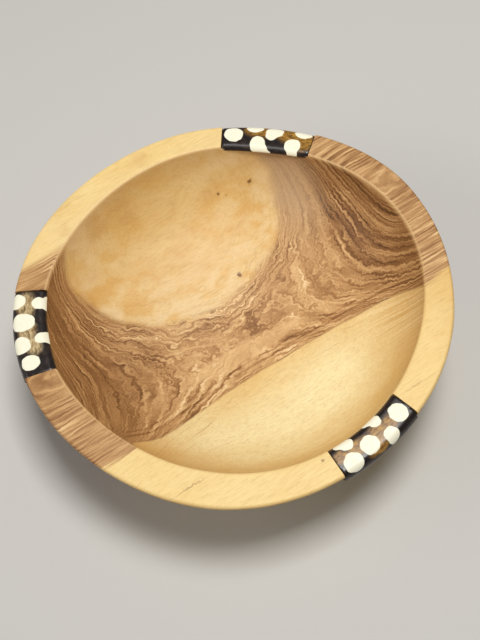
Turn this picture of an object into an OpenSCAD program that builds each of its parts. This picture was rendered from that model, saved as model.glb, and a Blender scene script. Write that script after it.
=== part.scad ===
// Hand-carved wooden bowl with three bone inlays let into its rim.
// Origin at the centre of the flat foot, +Z up. Angles on the rim are counted from +X towards +Y.

/* [Bowl] */
// Outside diameter of the rim
bowl_d = 200; // [186:1:210]
// Height from the flat foot to the top of the rim
bowl_h = 50; // [48:1:58]
// Diameter of the flat foot
foot_d = 84; // [80:1:100]
// Width of the flat top of the rim, from the outside to the hollow
rim_w = 14; // [13:0.5:16]
// Thickness of the floor in the middle
floor_t = 7; // [6:0.5:9]
// Radius of the bend where the floor of the hollow turns up into its wall
wall_bend_r = 45; // [43:1:46]
// Lean of the hollow's wall away from vertical, just under the rim, in degrees
wall_lean = 14; // [12:1:17]
// Rounding of the rim's edges
rim_round = 1.5; // [0.8:0.1:2.5]

/* [Bone inlays] */
// Length of the back inlay along the outside of the rim
back_len = 47.5; // [30:0.5:60]
// Length of the left inlay along the outside of the rim
left_len = 45; // [30:0.5:60]
// Length of the front inlay along the outside of the rim
front_len = 41; // [30:0.5:60]
// Where the middle of the back inlay lies on the rim, in degrees
back_angle = 72; // [60:1:90]
// Where the middle of the left inlay lies on the rim, in degrees
left_angle = 183.5; // [170:0.5:196]
// Where the middle of the front inlay lies on the rim, in degrees
front_angle = 301.5; // [288:0.5:314]
// Depth of the notch at the outside of the rim, where the bone rolls over the edge
notch_out = 8; // [6:0.5:10]
// Depth of the notch at the lip of the hollow, where the bone is thinnest
notch_in = 3; // [2:0.5:5]
// How far the crown of the bone sits below the top of the rim
bone_drop = 0.4; // [0:0.1:1]
// How far the bone's round nose stands out past the outside of the rim
bone_proud = 0.6; // [0:0.1:1.5]
// Rounding of the bone where it rolls down into the hollow
bone_round_in = 3.5; // [2.5:0.5:5]
// Slope of each saw cut from the inlay's middle line, in degrees
cut_slope = 8; // [0:0.5:12]
// Thickness of the glue under the bone and at its ends
glue_t = 0.4; // [0.2:0.1:0.8]

/* [Hidden] */

$fn = 144;
past = 1; // how far a cutter runs past what it cuts
clear = 4; // how far a corner's patch reaches past the corner
rim_r = bowl_d / 2;
foot_r = foot_d / 2;
hollow_r = rim_r - rim_w;

// The outside is part of a ball that runs through the edge of the foot and around the rounding of the rim.
round_x = rim_r - rim_round;
round_z = bowl_h - rim_round;
fit = (round_x * round_x + round_z * round_z - foot_r * foot_r - rim_round * rim_round) / 2;
lead = round_z * round_z - rim_round * rim_round;
ball_r = (fit * rim_round + round_z * sqrt(fit * fit + lead * foot_r * foot_r)) / lead;
ball_z = sqrt(ball_r * ball_r - foot_r * foot_r);

// The hollow is two arcs that meet smoothly: a bend of wall_bend_r under the rim, and a wide floor.
bend_x = hollow_r - wall_bend_r * cos(wall_lean);
bend_z = bowl_h + wall_bend_r * sin(wall_lean);
bend_up = bend_z - floor_t;
floor_r = (bend_x * bend_x + bend_up * bend_up - wall_bend_r * wall_bend_r) / (2 * (bend_up - wall_bend_r));
floor_z = floor_t + floor_r;
meet = atan2(bend_x, floor_z - bend_z); // angle from straight down at which the two arcs meet

// The bone's crown is flat and its nose is a half round that hangs over the outside of the rim.
crown_z = bowl_h - bone_drop;
nose_r = (notch_out - bone_drop - glue_t) / 2;
nose_x = rim_r + bone_proud - nose_r;

wood_color = "#d9b27c";
bone_color = "#4a3524";
glue_color = "#2b2019";

// Waste outside a rounded corner: the corner's own patch with the round taken out of it.
module corner_waste(centre, round_r, patch) {
    difference() {
        polygon(concat([centre], patch));
        translate(centre) circle(round_r);
    }
}

// Half of the section of the ball that the outside is part of.
module ball_section() {
    intersection() {
        translate([0, ball_z]) circle(ball_r);
        square([rim_r + clear, bowl_h]);
    }
}

// Half of the hollow's section, from the axis outwards, open at the top.
module hollow_section() {
    reach = 2 * floor_r;
    intersection() {
        union() {
            intersection() {
                translate([0, floor_z]) circle(floor_r);
                polygon([[0, floor_z], [0, floor_z - reach],
                         [reach * sin(meet), floor_z - reach * cos(meet)]]);
            }
            translate([bend_x, bend_z]) circle(wall_bend_r);
        }
        square([rim_r, bowl_h + past]);
    }
}

// The hollow with its lip rounded off into a top at top_z.
module lipped_hollow(top_z, lip_r) {
    lip_z = top_z - lip_r;
    lip_x = bend_x + sqrt(pow(wall_bend_r + lip_r, 2) - pow(bend_z - lip_z, 2));
    ray = [bend_x - lip_x, bend_z - lip_z] / (wall_bend_r + lip_r);
    hollow_section();
    corner_waste([lip_x, lip_z], lip_r,
                 [[lip_x, top_z + past], [hollow_r - clear, top_z + past],
                  [lip_x, lip_z] + ray * (lip_r + clear)]);
}

// Half of the bowl's section, before the notches are sawn.
module bowl_section() {
    ray = [round_x, round_z - ball_z] / (ball_r - rim_round);
    difference() {
        ball_section();
        lipped_hollow(bowl_h, rim_round);
        corner_waste([round_x, round_z], rim_round,
                     [[round_x, bowl_h + past], [rim_r + clear, bowl_h + past],
                      [round_x, round_z] + ray * (rim_round + clear)]);
    }
}

// Section of an inlay across the rim, before it is fitted to the seat of its notch.
module bone_section() {
    difference() {
        union() {
            translate([bend_x, bowl_h / 2]) square([nose_x - bend_x, crown_z - bowl_h / 2]);
            translate([nose_x, crown_z - nose_r]) circle(nose_r);
        }
        lipped_hollow(crown_z, bone_round_in);
    }
}

// Section of the glue: where the wood and the bone face each other.
module glue_section() {
    intersection() {
        bone_section();
        ball_section();
    }
}

// Plan of an inlay of the given length, its middle line along +X, each end moved out by spread.
module saw_plan(len, spread) {
    corner_x = sqrt(rim_r * rim_r - len * len / 4);
    near_x = hollow_r * 0.8;
    far_x = rim_r + clear;
    near_y = len / 2 + spread - (corner_x - near_x) * tan(cut_slope);
    far_y = len / 2 + spread + (far_x - corner_x) * tan(cut_slope);
    polygon([[near_x, -near_y], [far_x, -far_y], [far_x, far_y], [near_x, near_y]]);
}

// Block between the two saw cuts of a notch, above its sloping seat.
// The ends are moved out by spread and the seat is raised by lift.
module saw_block(angle, len, spread, lift) {
    slope = (notch_out - notch_in) / rim_w;
    near_x = hollow_r * 0.8;
    far_x = rim_r + clear;
    near_z = bowl_h - notch_in + lift + (hollow_r - near_x) * slope;
    far_z = bowl_h - notch_out + lift - (far_x - rim_r) * slope;
    top_z = max(near_z, bowl_h) + past;
    rotate([0, 0, angle]) intersection() {
        translate([0, 0, far_z - past]) linear_extrude(top_z - far_z + 2 * past) saw_plan(len, spread);
        rotate([90, 0, 0]) linear_extrude(2 * len, center = true)
            polygon([[near_x, near_z], [far_x, far_z], [far_x, top_z], [near_x, top_z]]);
    }
}

module bowl_body() {
    color(wood_color) difference() {
        rotate_extrude() bowl_section();
        saw_block(back_angle, back_len, glue_t, 0);
        saw_block(left_angle, left_len, glue_t, 0);
        saw_block(front_angle, front_len, glue_t, 0);
    }
}

module bone_inlay(angle, len) {
    color(bone_color) intersection() {
        rotate_extrude() bone_section();
        saw_block(angle, len, 0, glue_t);
    }
}

// Glue on the seat of the notch and up both of its ends.
module glue_bed(angle, len) {
    color(glue_color) difference() {
        intersection() {
            rotate_extrude() glue_section();
            saw_block(angle, len, glue_t, 0);
        }
        saw_block(angle, len, 0, glue_t);
    }
}

bowl_body();
bone_inlay(back_angle, back_len);  // bone_inlay_back
bone_inlay(left_angle, left_len);  // bone_inlay_left
bone_inlay(front_angle, front_len);  // bone_inlay_front
glue_bed(back_angle, back_len);  // glue_bed_back
glue_bed(left_angle, left_len);  // glue_bed_left
glue_bed(front_angle, front_len);  // glue_bed_front
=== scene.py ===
"""Looks of the hand-carved wooden bowl: its shape, its wood, and the three dyed bone inlays in its rim."""
import math

import bmesh
import bpy
import numpy as np
from mathutils import Matrix, Vector, noise


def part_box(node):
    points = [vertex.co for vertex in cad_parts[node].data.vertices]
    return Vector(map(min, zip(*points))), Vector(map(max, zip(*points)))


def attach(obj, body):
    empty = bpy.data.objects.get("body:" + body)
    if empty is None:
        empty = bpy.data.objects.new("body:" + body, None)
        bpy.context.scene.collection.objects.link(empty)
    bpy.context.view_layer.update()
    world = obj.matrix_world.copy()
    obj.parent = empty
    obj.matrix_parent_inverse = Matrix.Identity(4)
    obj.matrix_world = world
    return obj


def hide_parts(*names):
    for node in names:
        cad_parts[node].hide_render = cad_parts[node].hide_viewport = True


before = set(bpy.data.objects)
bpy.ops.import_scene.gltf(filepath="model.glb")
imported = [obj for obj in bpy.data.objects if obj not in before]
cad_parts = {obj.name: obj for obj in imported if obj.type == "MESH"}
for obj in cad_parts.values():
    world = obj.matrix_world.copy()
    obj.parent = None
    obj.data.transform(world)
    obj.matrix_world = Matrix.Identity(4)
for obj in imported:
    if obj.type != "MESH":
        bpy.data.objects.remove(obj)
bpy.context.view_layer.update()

# ---------------------------------------------------------------- sizes, in metres
MM = 0.001
foot_corner, rim_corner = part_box("bowl_body")
BOWL_H = rim_corner.z
RIM_R = (rim_corner.y - foot_corner.y) / 2
RIM_W = 14 * MM
FOOT_R = 42 * MM
FLOOR_T = 7 * MM
RIM_ROUND = 1.5 * MM
WALL_BEND_R = 45 * MM
WALL_LEAN = math.radians(14)

NOTCH_OUT = 8 * MM
NOTCH_IN = 3 * MM
BONE_DROP = 0.4 * MM
BONE_PROUD = 0.6 * MM
BONE_ROUND_IN = 3.5 * MM
BONE_CROWN = 0.3 * MM
CUT_SLOPE = math.radians(8)
GLUE_T = 0.4 * MM
GLUE_SINK = 0.55 * MM  # how far the glue's faces lie inside the wood's and the bone's
PAST = 5 * MM  # how far a cutter runs past what it cuts

# Unevenness that hand work leaves: a slow wave up and down around the rim, and scraped flats all over.
RIM_WAVE = 0.25 * MM
RIM_WAVE_WAY = math.radians(20)
TOOL_MARK = 0.22 * MM
# The carver's eye left the rim a little out of round: how many lobes, how far they stand out, and where the
# first one points, in degrees.
OUTER_LOBES = ((1, 0.85 * MM, -146), (2, 0.3 * MM, 12), (3, 1.1 * MM, 35),
               (4, 0.2 * MM, 0), (5, 0.4 * MM, 36), (6, 0.25 * MM, -28))
INNER_LOBES = ((1, 0.5 * MM, -50), (2, 0.5 * MM, 0), (3, 1.0 * MM, 41),
               (4, 0.8 * MM, 9), (5, 0.3 * MM, 30))

# The ball that the outside is part of, and the two arcs of the hollow.
HOLLOW_R = RIM_R - RIM_W
ROUND_X = RIM_R - RIM_ROUND
ROUND_Z = BOWL_H - RIM_ROUND
FIT = (ROUND_X**2 + ROUND_Z**2 - FOOT_R**2 - RIM_ROUND**2) / 2
LEAD = ROUND_Z**2 - RIM_ROUND**2
BALL_R = (FIT * RIM_ROUND + ROUND_Z * math.sqrt(FIT**2 + LEAD * FOOT_R**2)) / LEAD
BALL_Z = math.sqrt(BALL_R**2 - FOOT_R**2)
BEND_X = HOLLOW_R - WALL_BEND_R * math.cos(WALL_LEAN)
BEND_Z = BOWL_H + WALL_BEND_R * math.sin(WALL_LEAN)
BEND_UP = BEND_Z - FLOOR_T
FLOOR_R = (BEND_X**2 + BEND_UP**2 - WALL_BEND_R**2) / (2 * (BEND_UP - WALL_BEND_R))
FLOOR_Z = FLOOR_T + FLOOR_R
CROWN_Z = BOWL_H - BONE_DROP


# ---------------------------------------------------------------- shape helpers
def arc(centre, radius, start, end, step):
    """Points on a circle in the section, about step apart; angles in radians from straight out."""
    count = max(3, math.ceil(abs(end - start) * radius / step))
    turn = np.linspace(start, end, count + 1)
    return np.column_stack((centre[0] + radius * np.cos(turn), centre[1] + radius * np.sin(turn)))


def line(start, end, step):
    count = max(2, math.ceil(math.dist(start, end) / step))
    return np.linspace(start, end, count + 1)


def chain(*runs):
    """Joins runs of points end to end and drops the doubled point where two runs meet."""
    return np.vstack([runs[0]] + [run[1:] for run in runs[1:]])


def lobes(theta, waves):
    """How far waves like OUTER_LOBES stand out at each angle."""
    return sum(size * np.cos(count * (theta - math.radians(way))) for count, size, way in waves)


def fade(radius, height):
    """The share of the rim's unevenness that a point has: all at the rim, none in the middle."""
    low = np.clip(height / BOWL_H, 0, 1)
    return np.clip(radius / HOLLOW_R, 0, 1) ** 2 * (0.3 + 0.7 * low)


def swell(theta, radius, height):
    """How far the carved outline stands out from the true circle, for a point of the rim."""
    inner = np.clip((RIM_R - radius) / RIM_W, 0, 1)
    outline = (1 - inner) * lobes(theta, OUTER_LOBES) + inner * lobes(theta, INNER_LOBES)
    return fade(radius, height) * outline


def wall_swell(theta, radius, height, inside):
    """The same for the bowl itself, where the two faces of the wall have to stay apart."""
    side = np.where(inside > 0, lobes(theta, INNER_LOBES), lobes(theta, OUTER_LOBES))
    on_rim = np.clip((height - (BOWL_H - 2 * RIM_ROUND)) / RIM_ROUND, 0, 1)
    return on_rim * swell(theta, radius, height) + (1 - on_rim) * fade(radius, height) * side


def lip(top_z, lip_r):
    """Centre of the rounding between a top and the hollow, and the angle at which it meets the wall."""
    lip_z = top_z - lip_r
    lip_x = BEND_X + math.sqrt((WALL_BEND_R + lip_r) ** 2 - (BEND_Z - lip_z) ** 2)
    return lip_x, lip_z, math.atan2(BEND_Z - lip_z, BEND_X - lip_x)


def tube_faces(rings, around):
    """Quads from each ring of points to the next one."""
    faces = []
    for ring in range(rings - 1):
        a, b = ring * around, (ring + 1) * around
        for k in range(around):
            n = (k + 1) % around
            faces.append((a + k, a + n, b + n, b + k))
    return faces


def mesh_object(name, verts, faces, sharp_above=40):
    """A smooth-shaded object whose edges stay sharp where they bend by more than that many degrees."""
    mesh = bpy.data.meshes.new(name)
    mesh.from_pydata([tuple(v) for v in verts], [], faces)
    work = bmesh.new()
    work.from_mesh(mesh)
    bmesh.ops.recalc_face_normals(work, faces=work.faces)
    work.to_mesh(mesh)
    work.free()
    for face in mesh.polygons:
        face.use_smooth = True
    mesh.set_sharp_from_angle(angle=math.radians(sharp_above))
    piece = bpy.data.objects.new(name, mesh)
    bpy.context.scene.collection.objects.link(piece)
    return piece


# ---------------------------------------------------------------- the bowl's body
def bowl_section():
    """Half the bowl's section: from the middle of the foot out, up over the rim and down the hollow."""
    wall = 1.3 * MM
    fine = 0.35 * MM
    out_low = math.atan2(-BALL_Z, FOOT_R)
    out_high = math.atan2(ROUND_Z - BALL_Z, ROUND_X)
    lip_x, lip_z, lip_turn = lip(BOWL_H, RIM_ROUND)
    meet = math.atan2(BEND_X, FLOOR_Z - BEND_Z) - math.pi / 2
    outside = chain(
        line((0, 0), (FOOT_R, 0), 4 * MM),
        arc((0, BALL_Z), BALL_R, out_low, out_high, wall),
        arc((ROUND_X, ROUND_Z), RIM_ROUND, out_high, math.pi / 2, fine),
    )
    top = line((ROUND_X, BOWL_H), (lip_x, BOWL_H), 1.1 * MM)
    inside = chain(
        arc((lip_x, lip_z), RIM_ROUND, math.pi / 2, lip_turn, fine),
        arc((BEND_X, BEND_Z), WALL_BEND_R, lip_turn - math.pi, meet, wall),
        arc((0, FLOOR_Z), FLOOR_R, meet, -math.pi / 2, wall),
    )
    points = chain(outside, top, inside)
    inner_side = np.zeros(len(points))
    inner_side[len(outside) + len(top) - 2:] = 1
    return points, inner_side


def tool_marks(place):
    """Shallow flats and hollows that hand scraping leaves, in metres along the surface's normal.

    The broad ones are about 26 mm across and the small ones 10 mm.
    """
    broad = noise.noise(place * 38)
    small = noise.noise(place * 95 + Vector((7, 3, 1)))
    return TOOL_MARK * (0.75 * broad + 0.35 * small)


def bowl_mesh(around=480):
    """The bowl without its notches, out of round and scraped, and flat at the foot."""
    section, inner_side = bowl_section()
    slope = np.gradient(section, axis=0)
    normal = np.column_stack((slope[:, 1], -slope[:, 0]))
    normal /= np.linalg.norm(normal, axis=1)[:, None]
    theta = np.arange(around) * 2 * math.pi / around
    verts = []
    for (radius, height), (out, up), inside in zip(section[1:-1], normal[1:-1], inner_side[1:-1]):
        reach = radius + wall_swell(theta, radius, height, inside)
        hold = min(1, height / (3 * MM))
        wave = RIM_WAVE * (height / BOWL_H) ** 6 * np.cos(2 * (theta - RIM_WAVE_WAY))
        for turn, r, lift in zip(theta, reach, wave):
            place = Vector((r * math.cos(turn), r * math.sin(turn), height + lift))
            push = hold * tool_marks(place)
            place += Vector((out * math.cos(turn), out * math.sin(turn), up)) * push
            verts.append(place)
    rings = len(section) - 2
    faces = tube_faces(rings, around)
    under, floor = len(verts), len(verts) + 1
    verts += [Vector((0, 0, section[0][1])), Vector((0, 0, section[-1][1]))]
    last = (rings - 1) * around
    for k in range(around):
        n = (k + 1) % around
        faces.append((under, n, k))
        faces.append((floor, last + k, last + n))
    return mesh_object("carved_bowl", verts, faces)


# ---------------------------------------------------------------- notches, inlays and glue
class Inlay:
    """Where an inlay lies on the rim, its length, and how far its inner edge was filed straight."""

    def __init__(self, name, way, length, flat):
        self.name, self.way, self.length, self.flat = name, math.radians(way), length, flat
        self.corner_x = math.sqrt(RIM_R**2 - length**2 / 4)

    def half(self, x, spread=0.0):
        """Half of the inlay's length at distance x out along its middle line."""
        return self.length / 2 + spread + (x - self.corner_x) * math.tan(CUT_SLOPE)

    def end_turn(self, radius, spread=0.0):
        """Angle from the middle line at which a circle of that radius meets the saw cut."""
        y = self.length / 2
        for _ in range(4):
            y = self.half(math.sqrt(radius**2 - y**2), spread)
        return math.asin(y / radius)

    def seat(self, x, lift=0.0):
        """Height of the notch's sloping seat at distance x out."""
        return BOWL_H - NOTCH_IN + lift - (x - HOLLOW_R) * (NOTCH_OUT - NOTCH_IN) / RIM_W


INLAYS = (
    Inlay("back", 72, 47.5 * MM, 1.3 * MM),
    Inlay("left", 183.5, 45 * MM, 1.1 * MM),
    Inlay("front", 301.5, 41 * MM, 0.0),
)


def saw_cutter(inlay):
    """The block of wood that the two saw cuts and the chisel take out of the rim."""
    near_x, far_x, top = HOLLOW_R * 0.85, RIM_R + PAST, BOWL_H + PAST
    verts = []
    for x in (near_x, far_x):
        y = inlay.half(x, GLUE_T)
        for z in (inlay.seat(x), top):
            verts += [Vector((x, -y, z)), Vector((x, y, z))]
    faces = [(0, 1, 3, 2), (4, 6, 7, 5), (0, 4, 5, 1), (2, 3, 7, 6), (0, 2, 6, 4), (1, 5, 7, 3)]
    turn = Matrix.Rotation(inlay.way, 3, "Z")
    return mesh_object("cutter", [turn @ v for v in verts], faces)


def cut(piece, cutter):
    """Takes the cutter's shape out of the piece, for good."""
    modifier = piece.modifiers.new("cut", "BOOLEAN")
    modifier.operation = "DIFFERENCE"
    modifier.solver = "EXACT"
    modifier.object = cutter
    shape = bpy.data.meshes.new_from_object(piece.evaluated_get(bpy.context.evaluated_depsgraph_get()))
    piece.modifiers.remove(modifier)
    old = piece.data
    piece.data = shape
    shape.name = piece.name
    bpy.data.meshes.remove(old)
    bpy.data.objects.remove(cutter)
    shape.set_sharp_from_angle(angle=math.radians(40))


def bone_top(inlay, lift):
    """The inlay's section above its seat: inner edge, roll, crown and nose, with the length along it."""
    lip_x, lip_z, lip_turn = lip(CROWN_Z, BONE_ROUND_IN)
    nose_r = (NOTCH_OUT - BONE_DROP - GLUE_T) / 2
    nose_x, nose_z = RIM_R + BONE_PROUD - nose_r, CROWN_Z - nose_r
    fine = 0.45 * MM
    below_lip = 0.2  # how far the wall's arc starts under the lip, in radians; the seat cuts it short
    points = chain(
        arc((BEND_X, BEND_Z), WALL_BEND_R, lip_turn - math.pi - below_lip, lip_turn - math.pi, fine),
        arc((lip_x, lip_z), BONE_ROUND_IN, lip_turn, math.pi / 2, fine),
        line((lip_x, CROWN_Z), (nose_x, CROWN_Z), 0.7 * MM),
        arc((nose_x, nose_z), nose_r, math.pi / 2, -math.pi / 2, fine),
    )
    middle = (lip_x + nose_x) / 2
    width = (nose_x - lip_x) / 2 + nose_r
    points[:, 1] += BONE_CROWN * np.clip(1 - ((points[:, 0] - middle) / width) ** 2, 0, 1)
    keep = points[:, 1] > np.array([inlay.seat(x, lift) for x in points[:, 0]])
    points = points[keep]
    start_x = points[0][0] - 0.05 * MM
    end_x = points[-1][0]
    points = np.vstack(((start_x, inlay.seat(start_x, lift)), points, (end_x, inlay.seat(end_x, lift))))
    steps = np.linalg.norm(np.diff(points, axis=0), axis=1)
    along = np.concatenate(([0], np.cumsum(steps)))
    outward = slice(len(points) * 2 // 3)
    return points, along - np.interp(middle, points[outward, 0], along[outward])


def inlay_mesh(inlay, name, spread=0.0, lift=GLUE_T, shrink=0.0, rings=56):
    """A closed strip between the saw cuts. Its map holds the lengths along the rim and across it."""
    top, across = bone_top(inlay, lift)
    seat = line((top[-1][0], top[-1][1]), (top[0][0], top[0][1]), 1.5 * MM)[1:-1]
    section = np.vstack((top, seat))
    across = np.concatenate((across, np.full(len(seat), across[-1])))
    core = section.mean(axis=0)
    edge = 0.25 * MM
    share = np.concatenate(([0, 0.004], np.linspace(0.02, 0.98, rings), [0.996, 1]))
    verts, coords = [], []
    for t in share:
        inset = edge if t in (0, 1) else 0.0
        for (radius, height), cross in zip(section, across):
            out = np.array((radius, height)) - core
            radius, height = core + out * (1 - (inset + shrink) / max(np.linalg.norm(out), edge * 2))
            reach = inlay.end_turn(radius, spread)
            turn = (2 * t - 1) * reach
            theta = inlay.way + turn
            inner = np.clip((RIM_R - radius) / RIM_W, 0, 1) ** 2
            radius += float(swell(theta, radius, BOWL_H)) - inlay.flat * inner * (1 - (2 * t - 1) ** 2)
            verts.append(Vector((radius * math.cos(theta), radius * math.sin(theta), height)))
            coords.append((turn * RIM_R, cross))
    count = len(section)
    faces = tube_faces(len(share), count)
    last = (len(share) - 1) * count
    faces.append(tuple(range(count)))
    faces.append(tuple(last + k for k in reversed(range(count))))
    piece = mesh_object(name, verts, faces, 50)
    grid = piece.data.uv_layers.new(name="inlay_mm")
    for loop in piece.data.loops:
        u, v = coords[loop.vertex_index]
        grid.data[loop.index].uv = (u / MM, v / MM)
    return piece


def glue_bed(inlay):
    """The glue line under an inlay and up both of its ends, standing just below the surfaces around it."""
    name = "glue_" + inlay.name
    return inlay_mesh(inlay, name, spread=GLUE_T * 1.1, lift=-0.05 * MM, shrink=GLUE_SINK, rings=24)


# ---------------------------------------------------------------- material helpers
def srgb(*colour):
    """A colour read as 0 to 255 on a screen, made linear for the shader."""
    channels = [c / 255 for c in colour]
    return tuple(c / 12.92 if c <= 0.04045 else ((c + 0.055) / 1.055) ** 2.4 for c in channels) + (1.0,)


class Signal:
    """A shader output that is one number at each point, and that adds and multiplies as a number does."""

    def __init__(self, shader, socket):
        self.shader, self.socket = shader, socket

    def __add__(self, other):
        return self.shader.math("ADD", self, other)

    def __sub__(self, other):
        return self.shader.math("SUBTRACT", self, other)

    def __rsub__(self, other):
        return self.shader.math("SUBTRACT", other, self)

    def __mul__(self, other):
        return self.shader.math("MULTIPLY", self, other)

    def __abs__(self):
        return self.shader.math("ABSOLUTE", self)


class Shader:
    """A Principled material, with short names for the nodes that feed it."""

    def __init__(self, name, **constants):
        self.material = bpy.data.materials.new(name)
        self.material.use_nodes = True
        self.tree = self.material.node_tree
        self.surface = self.tree.nodes["Principled BSDF"]
        for socket, value in constants.items():
            self.feed(self.surface, socket.replace("_", " "), value)

    def feed(self, node, socket, value):
        if isinstance(value, Signal):
            self.tree.links.new(value.socket, node.inputs[socket])
        elif isinstance(value, bpy.types.NodeSocket):
            self.tree.links.new(value, node.inputs[socket])
        elif value is not None:
            node.inputs[socket].default_value = value

    def node(self, kind, inputs, output=0, **settings):
        node = self.tree.nodes.new(kind)
        for name, value in settings.items():
            setattr(node, name, value)
        for socket, value in inputs.items():
            self.feed(node, socket, value)
        return node.outputs[output]

    def signal(self, kind, inputs, output=0, **settings):
        """A node whose output is a number that can be added and multiplied."""
        return Signal(self, self.node(kind, inputs, output, **settings))

    def math(self, operation, a, b=None, c=None, clamp=False):
        return self.signal("ShaderNodeMath", {0: a, 1: b, 2: c}, operation=operation, use_clamp=clamp)

    def vector(self, operation, a, b):
        return self.node("ShaderNodeVectorMath", {0: a, 1: b}, operation=operation)

    def length(self, vector):
        return self.signal("ShaderNodeVectorMath", {0: vector}, output=1, operation="LENGTH")

    def blend(self, amount, a, b, mode="MIX"):
        """Colour a where amount is 0 and colour b where it is 1."""
        inputs = {0: amount, 6: a, 7: b}
        return self.node("ShaderNodeMix", inputs, output=2, data_type="RGBA", blend_type=mode)

    def step(self, value, low, high, out_low=0.0, out_high=1.0):
        """Goes smoothly from out_low to out_high as the value goes from low to high."""
        inputs = {"Value": value, 1: low, 2: high, 3: out_low, 4: out_high}
        return self.signal("ShaderNodeMapRange", inputs, interpolation_type="SMOOTHSTEP")

    def noise(self, place, detail=2.0, rough=0.5):
        """Smooth random values from 0 to 1, one swell in each unit of place."""
        inputs = {"Vector": place, "Scale": 1.0, "Detail": detail, "Roughness": rough}
        return self.signal("ShaderNodeTexNoise", inputs)

    def shaken(self, place, scale, detail, reach):
        """The place moved by a random vector, which makes the edges of marks uneven."""
        inputs = {"Vector": place, "Scale": scale, "Detail": detail}
        shake = self.node("ShaderNodeTexNoise", inputs, output=1)
        shake = self.vector("SUBTRACT", shake, (0.5, 0.5, 0.5))
        return self.vector("ADD", place, self.vector("MULTIPLY", shake, reach))

    def split(self, vector):
        parts = self.tree.nodes.new("ShaderNodeSeparateXYZ")
        self.feed(parts, 0, vector)
        return [Signal(self, part) for part in parts.outputs]

    def ramp(self, value, stops):
        """A colour for each value; a stop is the value and the colour it has there."""
        node = self.tree.nodes.new("ShaderNodeValToRGB")
        self.feed(node, 0, value)
        stripe = node.color_ramp
        for _ in stops[2:]:
            stripe.elements.new(0.5)
        for element, (at, colour) in zip(stripe.elements, stops):
            element.position = at
            element.color = srgb(*colour)
        return node.outputs[0]

    def stretch(self, place, x, y, z):
        return self.vector("MULTIPLY", place, (x, y, z))

    def spot(self, place, centre, size):
        """Distance from a centre measured in sizes, so it is 1 at the edge of the ellipse or egg."""
        away = self.vector("SUBTRACT", place, centre)
        return self.length(self.vector("MULTIPLY", away, tuple(1 / s for s in size)))

    def bump(self, *layers):
        """Stacks bumps, each a height signal and its depth in metres, and feeds the surface."""
        normal = None
        for height, depth in layers:
            inputs = {"Height": height, "Distance": depth, "Strength": 1.0, "Normal": normal}
            normal = self.node("ShaderNodeBump", inputs)
        self.feed(self.surface, "Normal", normal)


# ---------------------------------------------------------------- the wood
GRAIN_WAY = math.radians(25.5)
# The pith lies above the rim, and the rings round it lean to one side: side at the foot, lean, height.
PITH_SIDE, PITH_LEAN, PITH_HEIGHT = -5.05, 0.3, 65.0
# The heartwood lies between two faces: how fast each one moves sideways with height, and where it starts.
LOW_FACE_LEAN, LOW_FACE_START = 0.6, 18.1
HIGH_FACE_LEAN, HIGH_FACE_START = 1.55, 6.6

HEART_TONES = ((0.0, (100, 64, 34)), (0.28, (150, 105, 60)), (0.55, (196, 150, 98)),
               (0.8, (228, 188, 132)), (1.0, (248, 216, 166)))
# The grey-tan haze over the heartwood, partly a painted reflection.
HEART_GLARE_HAZE = srgb(208, 180, 144)
SAP_DULL = srgb(230, 188, 114)
# The palest sapwood, used partly as painted glare.
SAP_PALE_AND_GLARE = srgb(254, 238, 184)
SAP_LINE = srgb(186, 134, 76)
SAP_ARC = srgb(255, 232, 176)
SAP_BRUSHED = srgb(220, 172, 104)
SAP_VEIL = srgb(246, 222, 176)
SAP_GOLD = srgb(224, 166, 82)
SAP_RIM = srgb(255, 220, 140)
SAP_END = srgb(214, 166, 98)
SAP_SMUDGE = srgb(204, 152, 86)
FIBRE_SHADE = srgb(150, 104, 62)
PORE_SHADE = srgb(120, 78, 44)
KNOT_SHADE = srgb(112, 72, 46)
# The pale tone of the painted highlight along the rim's inner edge.
LIP_HIGHLIGHT_TONE = srgb(244, 206, 150)

MIDDLE_TONE = 0.56
# A tan streak low in the heartwood: its tone, and its middle and half its size.
TAN_TONE = 0.88
TAN_STREAK = (-4.0, -9.5, 8.0), (34.0, 5.5, 12.0)
# Dark lines along the low face of the heartwood: how far inside it, how thick, and how dark.
FACE_LINES = ((0.5, 0.8, 0.20), (5.0, 1.0, 0.22), (7.6, 0.8, 0.12))
# Small knots, specks and cracks: where each lies, half its size, and how dark it is.
KNOTS = (
    ((47.5, 60.5, 32.0), (1.7, 1.4, 1.4), 1.0),
    ((18.0, 28.0, 10.7), (1.3, 1.7, 1.7), 0.9),
    ((31.0, 66.0, 28.0), (0.9, 0.8, 0.9), 0.9),
    ((34.5, 63.5, 27.0), (0.8, 0.7, 0.8), 0.8),
    ((40.0, 59.0, 27.5), (0.6, 0.6, 0.8), 0.8),
    ((-20.0, 21.0, 9.8), (2.2, 0.9, 1.5), 0.6),
    ((-14.0, -89.0, 50.0), (0.9, 0.7, 1.0), 0.8),
    ((-65.0, -68.0, 50.0), (8.0, 0.5, 2.0), 0.5),
    ((37.0, -84.0, 50.0), (7.0, 0.4, 2.0), 0.3),
)


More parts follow.
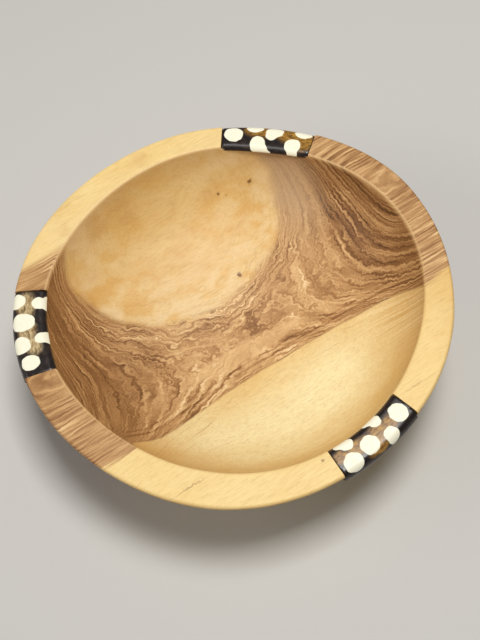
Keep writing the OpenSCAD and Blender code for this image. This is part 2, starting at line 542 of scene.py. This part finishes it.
class Board(Shader):
    """One board cut from beside the heart: rings round a pith above the rim, pale sapwood at both sides.

    Lengths are in millimetres along the grain, to the side of it, and up from the foot. A surface counts as
    the rim's flat top, and not as the wall, from about 49 mm up.
    """

    def __init__(self, name):
        super().__init__(name, Specular_IOR_Level=0.35, Coat_Weight=0.06, Coat_Roughness=0.3)
        coordinates = self.tree.nodes.new("ShaderNodeTexCoord").outputs
        turn = (0, 0, -GRAIN_WAY)
        inputs = {"Vector": coordinates["Object"], "Rotation": turn, "Scale": (1000, 1000, 1000)}
        self.grain = self.node("ShaderNodeMapping", inputs)
        self.along, self.side, self.height = self.split(self.grain)
        facing = self.node("ShaderNodeMapping", {"Vector": coordinates["Normal"], "Rotation": turn})
        facing_along, _, self.facing_up = self.split(facing)
        self.end_grain = self.step(abs(facing_along), 0.2, 0.85)
        self.on_rim = self.step(self.height, 48.6, 49.8)
        self.year = self.rings()
        self.fine = self.ring_lines(0.9, 1.0)
        self.band = self.ring_lines(2.6, 1.5)
        self.wide = self.ring_lines(9.0, 1.0)
        self.heart = self.heart_zone()

    def grain_noise(self, along, across, detail, rough=0.5):
        """Values from 0 to 1, with so many swells in a millimetre along the grain and across it."""
        return self.noise(self.stretch(self.grain, along, across, across), detail, rough)

    def grain_wave(self, along, across, detail, rough=0.5):
        """The same, from about -0.5 to 0.5."""
        return self.grain_noise(along, across, detail, rough) - 0.5

    def rings(self):
        """Millimetres of growth, counted out from the pith and bent by slow waves and by tight curls."""
        across = self.side - (self.height * PITH_LEAN + PITH_SIDE)
        drop = self.height - PITH_HEIGHT
        ring = self.math("SQRT", across * across + drop * drop)
        belly = self.height - 28
        ring = ring - belly * belly * 0.010

        # The waves are weaker on the -Y side, and the curls there, high on the wall and at the +X end.
        wavy = self.step(self.side, -4, -16, 1.0, 0.3)
        ring = ring + self.grain_wave(0.026, 0.03, 1.0) * wavy * 7.0
        curly = self.step(self.height, 14, 34, 1.0, 0.4) * wavy * self.step(self.along, 48, 66, 1.0, 0.4)
        curl = self.grain_wave(0.16, 0.2, 1.5) * 2.4
        ripple = self.grain_wave(0.5, 0.35, 1.0) * 0.7
        self.ring = ring + (curl + ripple) * curly

        # The tree grew more slowly with age, so the outer rings lie closer together.
        late = self.math("MAXIMUM", self.ring - 47.0, 0.0)
        year = self.ring + late * late * 0.12
        waver = self.grain_wave(0.22, 0.32, 1.0) * 2.6
        jitter = self.grain_wave(0.9, 0.9, 1.0) * 0.7
        return year + (waver + jitter) * self.step(self.height, 50.5, 46, 0.3, 1.0)

    def ring_lines(self, period, detail):
        """Lines that follow the rings, with about that many millimetres of growth between them."""
        place = self.node("ShaderNodeCombineXYZ", {0: self.year, 1: self.along * 0.05, 2: self.side * 0.03})
        return self.noise(self.stretch(place, 1 / period, 1 / period, 1 / period), detail) - 0.5

    def heart_zone(self):
        """1 in the heartwood and 0 in the sapwood.

        The low face, on the -Y side, is crisp, and drops away at the -X end. The high face is hazy and bends.
        """
        self.edge_wave = self.grain_wave(0.035, 0.06, 3.0, 0.55) * 7.0
        low_end = self.step(self.along, -45, -72) * self.step(self.height, 18, 44)
        low_face = self.height * LOW_FACE_LEAN + self.side + LOW_FACE_START
        self.low_face = low_face + self.edge_wave * 0.25 - low_end * 8.0
        bend = self.math("MAXIMUM", self.height - 26, 0.0)
        high_face = self.height * HIGH_FACE_LEAN + (HIGH_FACE_START - self.side)
        self.high_face = high_face - bend * 0.65 + self.edge_wave
        low_edge = self.step(self.low_face + self.on_rim * self.band * 12.0, -0.5, 1.2)
        return low_edge * self.step(self.high_face, -2.0, 3.0)

    def heart_tone(self, glare_haze):
        """Tone of the heartwood, from 0 dark to 1 pale; the last argument is where a grey-tan haze, partly
        painted reflection, lies over it.
        """
        tone = self.fine * 1.5 + self.band * 0.5 + self.wide * 0.3
        chatter = self.grain_wave(0.8, 1.2, 2.0, 0.7) * 0.5
        tone = tone + chatter * self.step(self.height, 50.5, 46, 0.35, 1.0)
        strong = self.step(self.grain_noise(0.05, 0.09, 2.0), 0.3, 0.65, 0.6, 1.15)
        strong = strong * self.step(self.along, -45, -72, 1.0, 0.75)
        strong = strong * self.step(self.on_rim, 0.0, 1.0, 1.0, 0.95)
        # The haze lowers the ring contrast and lifts the tone: partly the wood's own grey, partly a painted
        # reflection of light on the far wall.
        tone = tone * strong * self.step(glare_haze, 0.0, 1.0, 1.0, 0.5)
        tone = tone + MIDDLE_TONE + self.step(self.ring, 34, 57, -0.07, 0.04)
        tone = tone - self.end_grain * 0.10 + glare_haze * 0.12

        # Both ends of the hollow's wall are darker than its floor and the rim.
        wall_only = self.step(self.height, 49, 47)
        left_wall = self.step(self.along, -20, -55, 0.0, -0.13) * self.step(self.side, -20, 10, 0.2, 1.0)
        right_wall = self.step(self.along, 34, 60, 0.0, -0.10) * self.step(self.height, 12, 32)
        tone = tone + (left_wall + right_wall) * wall_only

        sway = self.node("ShaderNodeCombineXYZ", {1: self.edge_wave})
        tan = self.step(self.spot(self.vector("ADD", self.grain, sway), *TAN_STREAK), 0.7, 1.1, 1.0, 0.0)
        tone = tone + (TAN_TONE - tone) * tan * 0.6
        for inside, thick, dark in FACE_LINES:
            dark_line = self.step(abs(self.low_face - inside), 0.1, thick, dark, 0.0)
            tone = tone - dark_line * self.step(self.height, 46, 30)
        return tone

    def heartwood(self):
        """Brown between light and dark rings, grey-tan where it meets the sapwood on the high side: its own
        tone with a painted reflection.
        """
        # The haze mask: the wood's grey where heart meets sap, with a painted reflection on the far wall.
        glare_haze = self.step(self.high_face, 30, 8) * self.step(self.height, 14, 30)
        glare_haze = glare_haze * self.step(self.height, 49, 46) * self.step(self.along, -30, 5)
        return self.blend(glare_haze * 0.6, self.ramp(self.heart_tone(glare_haze), HEART_TONES), HEART_GLARE_HAZE)

    def sapwood(self):
        """Pale and even, palest low on the -Y side where painted glare is mixed in, with faint lines along
        the grain.
        """
        along, side, height = self.along, self.side, self.height
        # Where the floor catches the light the sapwood is painted paler: a painted highlight mixed with the
        # wood's own paler tone.
        pale = self.step(side, -12, -50) * self.step(height, 40, 16) * self.step(along, 84, 30)
        pale = pale + self.on_rim * self.step(along, 50, 85, 0.45, 0.0)
        cloud = self.grain_wave(0.03, 0.06, 3.0, 0.6)
        pale = self.math("ADD", cloud * 0.8, pale * 0.8 + 0.1, clamp=True)
        colour = self.blend(pale, SAP_DULL, SAP_PALE_AND_GLARE)

        ring_line = self.step(self.fine + self.band * 0.8, -0.05, -0.4)
        from_edge = self.math("MINIMUM", self.low_face, self.high_face)
        colour = self.blend(ring_line * self.step(from_edge, -24, -1, 0.12, 0.6), colour, SAP_LINE)
        arcs = self.step(self.band, -0.08, 0.08) * self.step(along, 40, 62) * self.step(side, 4, -6)
        colour = self.blend(arcs * (1.0 - self.on_rim) * 0.7, colour, SAP_ARC)
        brushed = self.grain_noise(0.35, 0.6, 4.0, 0.75)
        colour = self.blend(self.step(brushed, 0.42, 0.72, 0.0, 0.3), colour, SAP_BRUSHED)

        mottle = self.grain_noise(0.06, 0.09, 3.0, 0.6)
        veil = self.step(self.high_face, -30, -2) * self.step(self.high_face, 3, -1)
        veil = veil * self.step(mottle, 0.34, 0.62) * self.step(side, -6, 2)
        colour = self.blend(veil * 0.6, colour, SAP_VEIL)
        gold = self.step(mottle, 0.5, 0.3) * self.step(height, 40, 26) * self.step(side, -30, 0)
        colour = self.blend(gold * 0.28, colour, SAP_GOLD)
        colour = self.blend(self.on_rim * self.step(along, 50, 85, 0.4, 0.1), colour, SAP_RIM)
        colour = self.blend(self.end_grain * 0.4, colour, SAP_END)
        smudge = self.step(self.grain_noise(0.05, 0.07, 4.0, 0.6), 0.48, 0.72)
        smudge = smudge * self.step(height, 8, 26) * self.step(side, 0, 40)
        return self.blend(smudge * 0.35, colour, SAP_SMUDGE)

    def knots(self, colour):
        """The same colour with the small knots, specks and cracks in it."""
        ragged = self.shaken(self.grain, 0.9, 2.0, (2.4, 2.4, 2.4))
        for centre, size, strength in KNOTS:
            mark = self.step(self.spot(ragged, centre, size), 0.2, 1.3, strength, 0.0)
            colour = self.blend(mark, colour, KNOT_SHADE, "MULTIPLY")
        return colour

    def painted_lip_highlight(self, colour):
        """A painted highlight: the rounded edge between the rim's top and the hollow is painted paler, most
        on the far side.
        """
        on_edge = self.step(self.facing_up, 0.2, 0.5) * self.step(self.facing_up, 0.98, 0.85)
        on_edge = on_edge * self.step(self.height, 47.8, 48.4)
        out_from_axis = self.length(self.stretch(self.grain, 1, 1, 0))
        inner = self.step(out_from_axis, 92, 90) * self.step(self.side, -70, 0, 0.3, 1.0)
        # Painted highlight: the lip is blended towards a pale tone where it would catch the light.
        return self.blend(on_edge * inner * 0.6, colour, LIP_HIGHLIGHT_TONE)

    def finish(self):
        """Joins the two woods, adds fibres, pores and knots, and feeds the surface."""
        colour = self.blend(self.heart, self.sapwood(), self.heartwood())
        fibre = self.grain_noise(0.14, 2.4, 3.0, 0.6)
        colour = self.blend(self.step(fibre, 0.45, 0.8, 0.0, 0.25), colour, FIBRE_SHADE, "MULTIPLY")
        cell = {"Vector": self.stretch(self.grain, 0.42, 1.7, 1.7), "Scale": 1.0, "Randomness": 1.0}
        pore = self.step(self.signal("ShaderNodeTexVoronoi", cell), 0.08, 0.22, 1.0, 0.0)
        colour = self.blend(pore * self.step(self.heart, 0, 1, 0.12, 0.4), colour, PORE_SHADE, "MULTIPLY")
        self.feed(self.surface, "Base Color", self.painted_lip_highlight(self.knots(colour)))
        self.feed(self.surface, "Roughness", self.step(fibre, 0.25, 0.75, 0.44, 0.60))
        scratch = self.grain_noise(0.5, 1.1, 4.0, 0.6)
        self.bump((scratch, 0.00006), (fibre, 0.00003), (pore, -0.00004))
        return self.material


# ---------------------------------------------------------------- the dyed bone
# Each undyed dot as one or more ovals that run together, in millimetres: along the rim, across it, half its
# length, half its width.
DOTS = {
    "back": (
        ((18.6, 1.2, 5.1, 4.7),),
        ((7.0, 5.4, 4.6, 2.7),),
        ((-3.7, 3.7, 4.7, 3.0), (-2.2, 1.2, 3.0, 2.6)),
        ((-18.8, 5.2, 4.4, 2.7),),
        ((4.9, -4.4, 4.3, 4.6), (3.0, -6.6, 4.4, 3.0), (0.0, -8.4, 3.4, 1.8)),
        ((-15.2, -2.9, 4.5, 3.9), (-16.4, -7.2, 3.0, 3.4)),
    ),
    "left": (
        ((-17.7, 5.9, 3.9, 4.3),),
        ((-16.3, -4.2, 3.4, 3.0), (-16.4, -8.2, 4.4, 3.0)),
        ((-6.0, 2.7, 4.7, 5.4),),
        ((6.0, 4.5, 4.4, 4.3),),
        ((4.3, -5.0, 3.0, 3.2), (4.8, -8.4, 3.7, 3.0)),
        ((16.3, 2.4, 3.9, 4.3),),
    ),
    "front": (
        ((15.8, 0.2, 4.3, 4.7),),
        ((6.1, 4.9, 3.4, 3.8), (5.2, 7.2, 1.8, 2.4)),
        ((-4.2, 1.7, 4.4, 4.4),),
        ((-14.6, 4.0, 4.5, 4.6),),
        ((5.0, -5.4, 3.2, 3.2), (1.6, -7.2, 3.2, 1.8)),
        ((-12.6, -5.0, 3.2, 3.0), (-15.8, -6.4, 3.4, 1.9)),
    ),
}
# Where the dye is worn thin, the same way, and its darkest and palest colour there.
AMBER = {
    "back": ((2.0, 3.6, 13.0, 4.6), (-12.0, 3.0, 9.0, 5.6), (-21.0, 0.5, 6.0, 7.0)),
    "left": ((-15.0, 1.2, 9.0, 4.8), (-1.0, 0.9, 9.0, 4.6), (8.0, -0.8, 6.0, 4.0)),
    "front": ((2.0, 0.6, 8.0, 5.6), (-8.5, -0.6, 8.0, 4.2), (9.5, 0.4, 4.0, 4.0), (-2.0, 6.0, 6.0, 3.0),
              (-18.0, -1.0, 4.5, 3.6)),
}
AMBER_TONES = {
    "back": (srgb(110, 76, 26), srgb(192, 142, 56)),
    "left": (srgb(140, 108, 66), srgb(222, 198, 150)),
    "front": (srgb(112, 74, 36), srgb(194, 146, 64)),
}
DYE_BLACK, DYE_BROWN = srgb(26, 18, 16), srgb(58, 39, 30)
BONE_WHITE, BONE_CREAM = srgb(255, 253, 230), srgb(248, 238, 200)


class DyedBone(Shader):
    """Polished bone, dyed almost black around pale dots, with brown where the dye is thin."""

    def __init__(self, which):
        super().__init__("dyed_bone_" + which, Specular_IOR_Level=0.5, Coat_Roughness=0.14)
        self.which = which
        self.place = self.node("ShaderNodeUVMap", {}, uv_map="inlay_mm")
        self.soft_place = self.shaken(self.place, 0.3, 1.0, (1.3, 1.3, 0.0))

    def oval(self, along, across, half_long, half_wide):
        """Distance from an oval's middle, 1 at its edge."""
        return self.spot(self.soft_place, (along, across, 0), (half_long, half_wide, 1.0))

    def from_dots(self):
        """Distance in millimetres from the edge of the nearest dot, less than 0 inside it."""
        nearest = None
        for ovals in DOTS[self.which]:
            dot = None
            for along, across, half_long, half_wide in ovals:
                half = (half_long + half_wide) / 2
                far = (self.oval(along, across, half_long, half_wide) - 1.0) * half
                dot = far if dot is None else self.math("SMOOTH_MIN", dot, far, 2.0)
            nearest = dot if nearest is None else self.math("MINIMUM", nearest, dot)
        return nearest

    def thin_dye(self):
        """1 where the dye is worn thin, 0 where it is whole."""
        thin = None
        for patch in AMBER[self.which]:
            near = self.step(self.oval(*patch), 0.45, 1.1, 1.0, 0.0)
            thin = near if thin is None else self.math("MAXIMUM", thin, near)
        return thin

    def finish(self):
        """Dye, amber and dots, and the gloss on them."""
        edge = self.from_dots()
        dot = self.step(edge, -0.10, 0.20, 1.0, 0.0)
        halo = self.step(edge, 0.0, 1.2, 1.0, 0.0)
        smoke = self.noise(self.stretch(self.place, 0.2, 0.4, 1.0), 3.0, 0.55)
        thin = self.thin_dye() * self.step(smoke, 0.28, 0.55, 0.45, 1.0)
        streak = self.noise(self.stretch(self.place, 0.3, 0.9, 1.0), 3.0, 0.6)

        dye = self.blend(self.step(smoke, 0.45, 0.75), DYE_BLACK, DYE_BROWN)
        dark_amber, pale_amber = AMBER_TONES[self.which]
        amber = self.blend(self.step(streak, 0.32, 0.66), dark_amber, pale_amber)
        dye = self.blend(thin * 0.95, dye, amber)
        dye = self.blend(halo * thin * 0.3, dye, pale_amber)
        cream = self.blend(self.step(streak, 0.4, 0.75, 0.0, 0.5), BONE_WHITE, BONE_CREAM)
        self.feed(self.surface, "Base Color", self.blend(dot, dye, cream))
        self.feed(self.surface, "Roughness", self.step(streak, 0.3, 0.7, 0.28, 0.42) + dot * 0.15)

        # The gloss is full on the side that rolls down into the hollow, and low on the crown and the dots.
        across = self.split(self.place)[1]
        rolled = self.step(across, -3.5, -6.5, 0.12, 0.5)
        self.feed(self.surface, "Coat Weight", rolled * self.step(dot, 0.0, 1.0, 1.0, 0.15))
        self.bump((streak, 0.00002), (dot, 0.00003))
        return self.material


def glue_material():
    """Dark hardened glue, lumpy where it squeezed out."""
    glue = Shader("dark_glue", Specular_IOR_Level=0.5)
    place = glue.node("ShaderNodeTexCoord", {}, output=3)
    lumps = glue.noise(glue.stretch(place, 900, 900, 900), 3.0, 0.6)
    colour = glue.blend(glue.step(lumps, 0.4, 0.7), srgb(38, 26, 19), srgb(86, 62, 42))
    glue.feed(glue.surface, "Base Color", colour)
    glue.feed(glue.surface, "Roughness", glue.step(lumps, 0.3, 0.7, 0.35, 0.6))
    glue.bump((lumps, 0.0001))
    return glue.material


# ---------------------------------------------------------------- putting the bowl together
bowl = bowl_mesh()
for inlay in INLAYS:
    cut(bowl, saw_cutter(inlay))
bowl.data.materials.clear()
bowl.data.materials.append(Board("carved_wood").finish())
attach(bowl, "root")
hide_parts("bowl_body")

glue_look = glue_material()
for inlay in INLAYS:
    bone = inlay_mesh(inlay, "inlay_" + inlay.name)
    bone.data.materials.append(DyedBone(inlay.name).finish())
    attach(bone, "root")
    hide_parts("bone_inlay_" + inlay.name)

    bed = glue_bed(inlay)
    bed.data.materials.append(glue_look)
    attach(bed, "root")
    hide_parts("glue_bed_" + inlay.name)


# ---------------------------------------------------------------- floor, light and camera
def plain_floor():
    shape = bpy.data.meshes.new("floor")
    half = 3.0
    corners = [(-half, -half, 0), (half, -half, 0), (half, half, 0), (-half, half, 0)]
    shape.from_pydata(corners, [], [(0, 1, 2, 3)])
    floor = bpy.data.objects.new("floor", shape)
    bpy.context.scene.collection.objects.link(floor)
    look = Shader("floor", Base_Color=srgb(205, 204, 201), Roughness=0.75, Specular_IOR_Level=0.2)
    shape.materials.append(look.material)


def soft_light(name, spot, size, watts, colour):
    """A rectangular light, in metres and watts, that faces the middle of the foot."""
    data = bpy.data.lights.new(name, "AREA")
    data.shape = "RECTANGLE"
    data.size, data.size_y = size
    data.energy = watts
    data.color = colour
    light = bpy.data.objects.new(name, data)
    light.location = spot
    light.rotation_euler = (-Vector(spot)).to_track_quat("-Z", "Y").to_euler()
    bpy.context.scene.collection.objects.link(light)


# The camera's place, seen from the middle of the rim, and how far it is turned from looking straight there,
# in radians.
CAMERA_RISE = 1.01842
CAMERA_DISTANCE = 4.09059 * RIM_R
CAMERA_YAW, CAMERA_PITCH, CAMERA_TILT = 0.00248, -0.03324, -0.14882
FILM_HEIGHT, LENS = 36, 50.625  # in millimetres


def turned(a, b, angle):
    """Two directions at right angles, turned by an angle from a towards b."""
    return a * math.cos(angle) + b * math.sin(angle), b * math.cos(angle) - a * math.sin(angle)


def photo_camera():
    """Looks down at the bowl from the -Y side, a little tilted, as a hand-held telephone does."""
    ahead = Vector((0, math.cos(CAMERA_RISE), -math.sin(CAMERA_RISE)))
    spot = Vector((0, 0, BOWL_H)) - ahead * CAMERA_DISTANCE
    right = Vector((1, 0, 0))
    up = right.cross(ahead)
    ahead, right = turned(ahead, right, CAMERA_YAW)
    ahead, up = turned(ahead, up, CAMERA_PITCH)
    right, up = turned(right, up, CAMERA_TILT)
    data = bpy.data.cameras.new("camera")
    data.sensor_fit = "VERTICAL"
    data.sensor_height = FILM_HEIGHT
    data.lens = LENS
    data.clip_start = 0.01
    camera = bpy.data.objects.new("camera", data)
    turn = Matrix((right, up, -ahead)).transposed()
    camera.matrix_world = Matrix.Translation(spot) @ turn.to_4x4()
    bpy.context.scene.collection.objects.link(camera)
    bpy.context.scene.camera = camera


def room_light(colour, strength):
    world = bpy.data.worlds.new("room")
    world.use_nodes = True
    background = world.node_tree.nodes["Background"]
    background.inputs["Color"].default_value = colour + (1,)
    background.inputs["Strength"].default_value = strength
    bpy.context.scene.world = world


plain_floor()
soft_light("overhead", (0.20, 0.06, 1.30), (0.45, 0.45), 13.5, (1.0, 0.975, 0.94))
soft_light("window", (-1.4, -0.2, 0.9), (1.2, 0.6), 6.5, (1.0, 0.98, 0.95))
room_light((1.0, 0.98, 0.96), 0.14)
bpy.context.scene.view_settings.view_transform = "Standard"
photo_camera()
